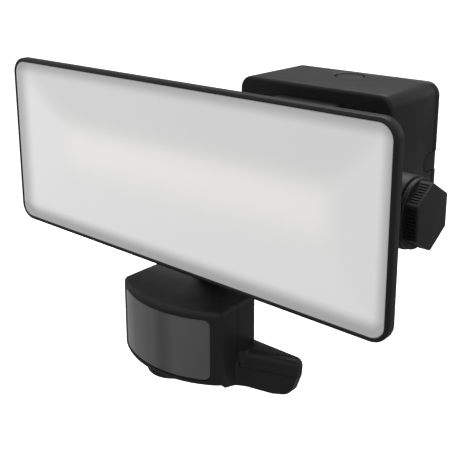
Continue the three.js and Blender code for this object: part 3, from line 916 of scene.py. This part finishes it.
def head_plan(sizes):
    """The few places that the head is built from."""
    dial_gap, window_setback = 0.3 * MM, 8 * MM
    belly_lift, belly_rise = 2.9 * MM, 0.075
    front_low, front_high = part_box("head_front")
    rear_low, rear_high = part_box("head_rear")
    _, dial_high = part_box("settings_dial")
    return {
        "side": -front_low.x,
        "apex": front_low.y,
        "back": front_high.y,
        "back_zone": front_high.y - 3 * MM,
        "seam": rear_low.y,
        "window_back": rear_low.y - window_setback,
        "top": front_high.z,
        "bottom": dial_high.z + dial_gap,
        "parting": rear_low.z,
        "wing_top": rear_low.z + sizes.wing_height,
        "belly": front_low.z + belly_lift,
        "belly_rise": belly_rise,
        "shoulder": front_low.y + 16 * MM,
        "tip": rear_high.x,
        "arc": front_low.y + sizes.head_radius,
    }


def head_drum(name, sizes, plan, inset):
    """The head without its wing: a round drum cut to the flat sides, back, top and bottom."""
    side, too_close = plan["side"] - inset, 0.8 * MM
    low_z, high_z = plan["bottom"] + inset, plan["top"] - inset
    drum = add_rod(name, sizes.head_radius - inset, Z, low_z, high_z, (0, plan["arc"], 0), 84)
    block_low = (-side, plan["apex"] - PAST, low_z - PAST)
    overlap(drum, add_slab("block", block_low, (side, plan["back"] - inset, high_z + PAST)))
    edit(drum, "VERT", "SELECT")
    bpy.ops.mesh.remove_doubles(threshold=too_close)
    bpy.ops.object.mode_set(mode="OBJECT")
    return drum


def shave_underside(piece, plan):
    """Slopes the underside from the head's front right corner down to the wing's lower edge."""
    below, square_to_slope = 1.4 * MM, (0, 0.25, 0.97)
    corner = (plan["side"], plan["shoulder"], plan["bottom"] - below)
    shave(piece, corner, square_to_slope)


def blend_wing_root(wing, plan):
    """Sweeps the lower half of the wing's front forward in steps where it meets the head's side."""
    steps, reach, depth = 4, 6 * MM, 3.6 * MM
    places = [plan["side"] + reach * step / steps for step in range(steps)]

    def low_front(p):
        return p.y < plan["back_zone"] and p.z < plan["parting"] + NEAR

    for place in places:
        slice_across(wing, (place, 0, 0), (1, 0, 0))
    for step, place in enumerate(places):
        push = -depth * (1 - step / steps) ** 2
        move_corners(wing, lambda p: abs(p.x - place) < 10 * NEAR and low_front(p), (0, push, 0))
    move_corners(wing, lambda p: p.x < plan["side"] - MM and low_front(p), (0, -depth, 0))


def head_wing(sizes, plan):
    """The wing on the right: its front slants back, its end leans in and its underside rises."""
    slant_angle, waist_lean, foot_lean = 0.3, 0.8 * MM, 5.2 * MM
    start = plan["side"] - 2 * MM
    slant = math.tan(slant_angle) * (plan["tip"] - start)
    low = (start, plan["seam"] + 0.6 * MM, plan["belly"])
    wing = add_slab("wing", low, (plan["tip"], plan["back"], plan["wing_top"]))
    at_tip, back_zone = plan["tip"] - 2 * MM, plan["back_zone"]
    slice_across(wing, (0, 0, plan["parting"]), (0, 0, 1))
    move_corners(wing, lambda p: p.x > at_tip and p.y < back_zone, (0, slant, 0))
    blend_wing_root(wing, plan)
    move_corners(wing, lambda p: p.x > at_tip and abs(p.z - plan["parting"]) < NEAR, (-waist_lean, 0, 0))
    rise = plan["belly_rise"] * (plan["tip"] - start)
    move_corners(wing, lambda p: p.x > at_tip and p.z < plan["belly"] + MM, (-foot_lean, 0, rise))
    shave_underside(wing, plan)
    root = plan["side"] + 7 * MM
    end_zone = at_tip - 6 * MM

    def end_edge(a, b):
        joins_faces = abs(a.y - b.y) > 2 * MM and abs(a.z - b.z) < NEAR
        return joins_faces and a.x > end_zone and abs(a.z - plan["parting"]) > NEAR

    def outline(a, b):
        same_face = (a.y > back_zone) == (b.y > back_zone)
        flat_ring = abs(a.z - plan["parting"]) < NEAR and abs(b.z - plan["parting"]) < NEAR
        return same_face and not flat_ring and not (a.x < root and abs(a.x - b.x) < NEAR)

    bevel_picked(wing, end_edge, sizes.wing_end, 5)
    bevel_picked(wing, outline, sizes.wing_round, 5)
    return wing


def head_keel(plan):
    """The lower body under the head, which carries the wing's underside across."""
    side, inner, tail_end = plan["side"] - 0.05 * MM, 12 * MM, -30 * MM
    corner_shift, tail_setback, tail_round = (11 * MM, 3 * MM, 0), 7.9 * MM, 1.5 * MM
    front, rear = plan["shoulder"], plan["back"]
    drop = plan["belly_rise"] * (side - inner)
    keel = add_slab("keel", (inner, front, plan["belly"]), (side, rear, plan["parting"]))
    underside = plan["belly"] + MM
    move_corners(keel, lambda p: p.x < inner + MM and p.z < underside, (0, 0, -drop))
    move_corners(keel, lambda p: p.y < front + MM and p.x < inner + MM, corner_shift)
    tail_low = (tail_end, plan["seam"] + tail_setback, plan["belly"] - drop)
    tail = add_slab("keel_back", tail_low, (inner + MM, rear, plan["parting"]))
    move_corners(tail, lambda p: p.x < 0 and p.z < underside, (0, 0, -plan["belly_rise"] * inner))
    bevel_picked(tail, lambda a, b: a.x < 0 and b.x < 0, tail_round, 4)
    shave_underside(keel, plan)
    return fuse(keel, tail)


class FLOODLIGHT_OT_head(bpy.types.Operator):
    """Makes the head's two shells, parted up the sides and back along the wing"""

    bl_idname = "floodlight.head"
    bl_label = "Head Shells"

    def execute(self, context):
        sizes = context.scene.floodlight_sizes
        plan = head_plan(sizes)
        body = head_drum("head_body", sizes, plan, 0.0)
        rims = level(Z, plan["top"], plan["bottom"])

        def corner(a, b):
            return along(Z)(a, b) and abs(abs(a.x) - plan["side"]) < NEAR

        bevel_picked(body, lambda a, b: rims(a, b) or corner(a, b), sizes.head_round, 5)
        fuse(body, head_keel(plan), head_wing(sizes, plan))
        hollow = head_drum("hollow", sizes, plan, sizes.head_wall)
        cut(body, hollow)
        self.split(sizes, plan, body)
        self.small_parts()
        return {"FINISHED"}

    def split(self, sizes, plan, body):
        """Parts the head into its front and rear shells, and opens the front one."""
        rear = twin(body, "rear_shell")
        half = sizes.seam / 2
        cut(body, self.rear_corner(plan, -half), self.window_opening(sizes, plan), self.button_hole(plan))
        overlap(rear, self.rear_corner(plan, half))
        fuse(rear, self.tongue(plan))
        pin_radius, reach = 3.3 * MM, 20 * MM
        cut(rear, add_rod("pin_hole", pin_radius, X, -reach, reach, self.pivot(), 48))
        body.name = "front_shell"
        hand_over(body, "head", "black_plastic", moulded_black(), "head_front")
        hand_over(rear, "head", "black_plastic", moulded_black(), "head_rear")

    @staticmethod
    def rear_corner(plan, gap):
        far = 0.2
        return add_slab("corner", (-far, plan["seam"] + gap, plan["parting"] + gap), (far, far, far))

    @staticmethod
    def window_opening(sizes, plan):
        low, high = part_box("head_window")
        gap = sizes.window_gap
        low, high = grown(low, high, (gap, 0, gap))
        low.y = plan["apex"] - 3 * PAST
        high.y = plan["window_back"]
        return rounded_slab("opening", low, high, Y, sizes.window_corner + gap, 10)

    @staticmethod
    def button_hole(plan):
        low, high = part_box("reset_button")
        radius, floor, depth = 4.3 * MM, plan["bottom"], 4 * MM
        return add_rod("hole", radius, Z, floor - PAST, floor + depth, (low + high) / 2, 48)

    @staticmethod
    def pivot():
        joint = next(j for j in frame["joints"] if j["name"] == "head_tilt")
        return Vector(joint["pos_m"])

    def tongue(self, plan):
        """The flat lug behind the head that the knuckle bolt goes through."""
        pivot = self.pivot()
        radius, half_width, above_wing = 8.5 * MM, 7 * MM, 8 * MM
        root_drop, tip_lift = 12 * MM, 16 * MM
        low = (-half_width, plan["back"] - MM, plan["wing_top"] + above_wing)
        lug = add_slab("lug", low, (half_width, pivot.y + radius / 2, pivot.z + radius))
        move_corners(lug, lambda p: p.y < pivot.y - MM and p.z > pivot.z, (0, 0, -root_drop))
        move_corners(lug, lambda p: p.y > pivot.y and p.z < pivot.z, (0, 0, tip_lift))
        fuse(lug, add_rod("eye", radius, X, -half_width, half_width, pivot, 64))
        return lug

    @staticmethod
    def small_parts():
        for node in ("head_screw_left", "head_screw_right"):
            finish_node(node, node + "_part", 0.2 * MM, "head", "screw_steel", plated_steel())


class FLOODLIGHT_OT_window(bpy.types.Operator):
    """Makes the curved smoked window"""

    bl_idname = "floodlight.window"
    bl_label = "Smoked Window"

    def execute(self, context):
        sizes = context.scene.floodlight_sizes
        plan = head_plan(sizes)
        low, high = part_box("head_window")
        sunk, thickness = 0.3 * MM, 2 * MM
        radius = sizes.head_radius - sunk
        centre = (0, plan["arc"], 0)
        pane = add_rod("window", radius, Z, low.z - PAST, high.z + PAST, centre, 256)
        inside = radius - thickness
        cut(pane, add_rod("inside", inside, Z, low.z - 2 * PAST, high.z + 2 * PAST, centre, 256))
        outline_low, outline_high = Vector(low), Vector(high)
        outline_low.y = plan["apex"] - PAST
        outline_high.y = plan["window_back"]
        overlap(pane, rounded_slab("outline", outline_low, outline_high, Y, sizes.window_corner, 10))
        soften(pane, 0.35 * MM, 3)
        hand_over(pane, "head", "smoked_window", smoked_plastic(), "head_window")
        return {"FINISHED"}


class FLOODLIGHT_OT_dial(bpy.types.Operator):
    """Makes the settings dial and the reset button in its middle"""

    bl_idname = "floodlight.dial"
    bl_label = "Settings Dial"

    def execute(self, context):
        low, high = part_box("settings_dial")
        centre = (low + high) / 2
        radius = (high.x - low.x) / 2
        gap, mark_half, mark_depth = 0.3 * MM, 0.7 * MM, 0.5 * MM
        mark_start, mark_end = low.y + 4 * MM, low.y + 9.5 * MM
        dial = add_rod("dial", radius, Z, low.z, high.z, centre, 96)
        bevel_picked(dial, level(Z, low.z), 1.1 * MM, 4)
        button_low, button_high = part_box("reset_button")
        button_radius = (button_high.x - button_low.x) / 2
        cut(dial, add_rod("hole", button_radius + gap, Z, low.z - PAST, high.z + PAST, centre, 64))
        mark_low = (centre.x - mark_half, mark_start, low.z - PAST)
        cut(dial, add_slab("pointer", mark_low, (centre.x + mark_half, mark_end, low.z + mark_depth)))
        soften(dial, 0.15 * MM)
        hand_over(dial, "dial", "black_plastic", moulded_black(), "settings_dial")
        button = add_rod("button", button_radius, Z, button_low.z, button_high.z, centre, 64)
        bevel_picked(button, level(Z, button_low.z), 0.6 * MM, 4)
        hand_over(button, "button", "black_rubber", soft_rubber(), "reset_button")
        return {"FINISHED"}


class FLOODLIGHT_OT_inside(bpy.types.Operator):
    """Gives the nodes that no piece has replaced their finishes"""

    bl_idname = "floodlight.inside"
    bl_label = "Inner Parts"

    def execute(self, context):
        finish_of = {
            "coated_metal": powder_coat,
            "black_plastic": moulded_black,
            "black_rubber": soft_rubber,
            "screw_steel": plated_steel,
            "white_plastic": white_plastic,
            "circuit_board": solder_mask,
            "dark_glass": dark_glass,
        }
        slot_of = {part["node"]: part["material_slot"] for part in frame["record"]["subparts"]}
        for name, node in frame["nodes"].items():
            if node.hide_render:
                continue
            node.material_slots[0].material = finish_of[slot_of[name]]()
        return {"FINISHED"}


# ---- studio


class FLOODLIGHT_OT_stage(bpy.types.Operator):
    """Sets the pale floor, the soft light and the camera"""

    bl_idname = "floodlight.stage"
    bl_label = "Studio"

    def execute(self, context):
        studio = context.scene.floodlight_studio
        self.make_floor(studio)
        self.make_sky(context, studio)
        deselect()
        self.add_lights(context, studio)
        pitch, yaw = math.radians(14.43), math.radians(40.43)
        place = (0.3024, -0.4969, 0.1379)
        bpy.ops.object.camera_add(location=place, rotation=(math.pi / 2 - pitch, 0, yaw))
        camera = context.object
        camera.data.lens = studio.camera_lens
        camera.data.sensor_width = 36
        camera.data.shift_y = -0.2
        camera.data.clip_start = 0.01
        camera.data.clip_end = 100
        context.scene.camera = camera
        context.scene.view_settings.view_transform = "Standard"
        context.scene.view_settings.look = "None"
        return {"FINISHED"}

    @staticmethod
    def add_lights(context, studio):
        """A wide soft sun from behind above, and a small light behind on the left, low down."""
        bpy.ops.object.light_add(type="SUN", location=(-0.6, 0.9, 1.2))
        key = context.object
        key.name = "key"
        key.rotation_euler = (math.radians(-38), 0, math.radians(28))
        key.data.energy = studio.key_power
        key.data.angle = math.radians(35)
        bpy.ops.object.light_add(type="AREA", location=(-0.9, 0.85, -0.25))
        back_fill = context.object
        back_fill.name = "back_fill"
        back_fill.rotation_euler = back_fill.location.to_track_quat("Z", "Y").to_euler()
        back_fill.data.size = 0.36
        back_fill.data.energy = studio.back_power
        back_fill.visible_camera = False

    @staticmethod
    def make_floor(studio):
        """A floor that looks almost white and throws little light back at the object."""
        lowest = frame_box[0].z - studio.floor_drop
        deselect()
        bpy.ops.mesh.primitive_plane_add(size=40, location=(0, 0, lowest))
        floor = named("floor")
        paint, tree, shader, place = new_material("pale floor")
        sight = tree.nodes.new("ShaderNodeLightPath").outputs["Is Camera Ray"]
        pale = mixed(tree, noise(tree, place, 3.0), (0.88,) * 3, (0.9,) * 3)
        tree.links.new(mixed(tree, sight, (0.3,) * 3, pale), shader.inputs["Base Color"])
        tree.links.new(mixed(tree, sight, (0.0,) * 3, (0.8,) * 3), shader.inputs["Emission Color"])
        shader.inputs["Emission Strength"].default_value = 1.0
        shader.inputs["Roughness"].default_value = 1.0
        shader.inputs["Specular IOR Level"].default_value = 0.0
        floor.data.materials.append(paint)

    @staticmethod
    def make_sky(context, studio):
        """Soft fill all round, dimmer towards one place behind on the left, and white to the camera."""
        world = bpy.data.worlds.new("studio")
        context.scene.world = world
        world.use_nodes = True
        tree = world.node_tree
        surroundings = tree.nodes["Background"]
        direction = tree.nodes.new("ShaderNodeTexCoord").outputs["Generated"]
        toward = tree.nodes.new("ShaderNodeVectorMath")
        toward.operation = "DOT_PRODUCT"
        tree.links.new(direction, toward.inputs[0])
        dimmest = Vector((-0.6, 0.74, 0.32)).normalized()
        toward.inputs[1].default_value = dimmest
        strength = remap(tree, toward.outputs["Value"], 0.55, 0.97, 0.6, 0.22)
        tree.links.new(strength, surroundings.inputs["Strength"])
        surroundings.inputs["Color"].default_value = (studio.sky_power,) * 3 + (1.0,)
        backdrop = tree.nodes.new("ShaderNodeBackground")
        backdrop.inputs["Color"].default_value = (1.0, 1.0, 1.0, 1.0)
        choose = tree.nodes.new("ShaderNodeMixShader")
        sight = tree.nodes.new("ShaderNodeLightPath")
        tree.links.new(sight.outputs["Is Camera Ray"], choose.inputs["Fac"])
        tree.links.new(surroundings.outputs[0], choose.inputs[1])
        tree.links.new(backdrop.outputs[0], choose.inputs[2])
        tree.links.new(choose.outputs[0], tree.nodes["World Output"].inputs["Surface"])


OPERATORS = (
    FLOODLIGHT_OT_stage,
    FLOODLIGHT_OT_bezel,
    FLOODLIGHT_OT_lens,
    FLOODLIGHT_OT_lamp_back,
    FLOODLIGHT_OT_barrel,
    FLOODLIGHT_OT_knob,
    FLOODLIGHT_OT_wall_box,
    FLOODLIGHT_OT_arm,
    FLOODLIGHT_OT_swivel,
    FLOODLIGHT_OT_head,
    FLOODLIGHT_OT_window,
    FLOODLIGHT_OT_dial,
    FLOODLIGHT_OT_inside,
)


class FLOODLIGHT_PT_maker(bpy.types.Panel):
    """Lists the pieces in the order they are made"""

    bl_label = "Floodlight Camera"
    bl_idname = "FLOODLIGHT_PT_maker"
    bl_space_type = "VIEW_3D"
    bl_region_type = "UI"
    bl_category = "Floodlight"

    def draw(self, context):
        for operator in OPERATORS:
            self.layout.operator(operator.bl_idname)


GROUPS = {
    "floodlight_sizes": FloodlightSizes,
    "floodlight_finishes": FloodlightFinishes,
    "floodlight_studio": FloodlightStudio,
}


def register():
    for cls in (*GROUPS.values(), *OPERATORS, FLOODLIGHT_PT_maker):
        bpy.utils.register_class(cls)
    for name, group in GROUPS.items():
        setattr(bpy.types.Scene, name, PointerProperty(type=group))


def unregister():
    for name in GROUPS:
        delattr(bpy.types.Scene, name)
    for cls in (FLOODLIGHT_PT_maker, *reversed(OPERATORS), *GROUPS.values()):
        bpy.utils.unregister_class(cls)


def main():
    register()
    bpy.ops.floodlight.stage()
    bpy.ops.floodlight.bezel()
    bpy.ops.floodlight.lens()
    bpy.ops.floodlight.lamp_back()
    bpy.ops.floodlight.barrel()
    bpy.ops.floodlight.knob()
    bpy.ops.floodlight.wall_box()
    bpy.ops.floodlight.arm()
    bpy.ops.floodlight.swivel()
    bpy.ops.floodlight.head()
    bpy.ops.floodlight.window()
    bpy.ops.floodlight.dial()
    bpy.ops.floodlight.inside()
    deselect()


if __name__ == "__main__":
    main()
